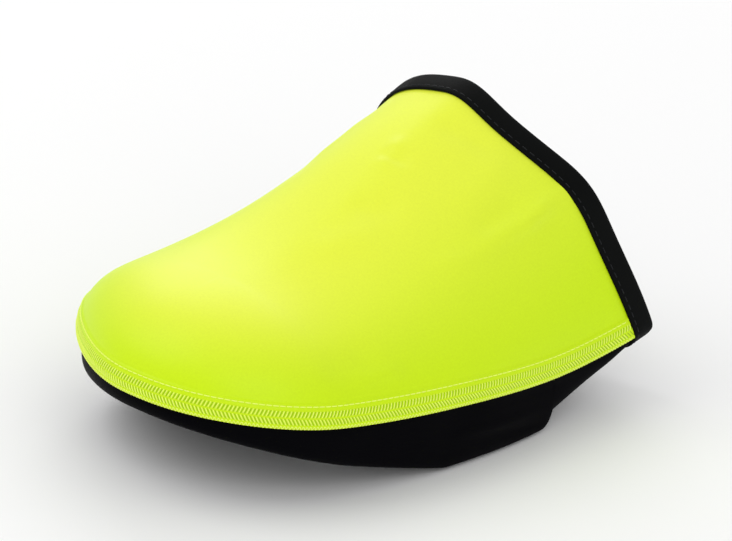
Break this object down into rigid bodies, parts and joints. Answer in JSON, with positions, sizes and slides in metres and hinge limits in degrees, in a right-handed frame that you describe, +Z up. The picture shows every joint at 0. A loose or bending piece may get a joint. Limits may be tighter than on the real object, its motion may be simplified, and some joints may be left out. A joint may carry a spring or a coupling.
{
  "type": "cycling toe cover",
  "caption": "Stretch softshell cover for the front half of a left cycling shoe, with a taped collar, a black base and a cleat opening.",
  "frame": {"origin": "centre of the bounding box's footprint, on the floor the pad stands on", "axes": "-Y towards the toe tip, +Y towards the open collar, +X towards the wearer's outer (left) side, +Z up"},
  "size_m": [0.1046, 0.1536, 0.0838],
  "materials": {
    "stretch_shell": "smooth",
    "base_fabric": "woven",
    "binding_tape": "ribbed"
  },
  "bodies": {
    "root": {"upper": "stretch_shell", "base": "base_fabric", "collar_binding": "binding_tape"}
  },
  "joints": []
}
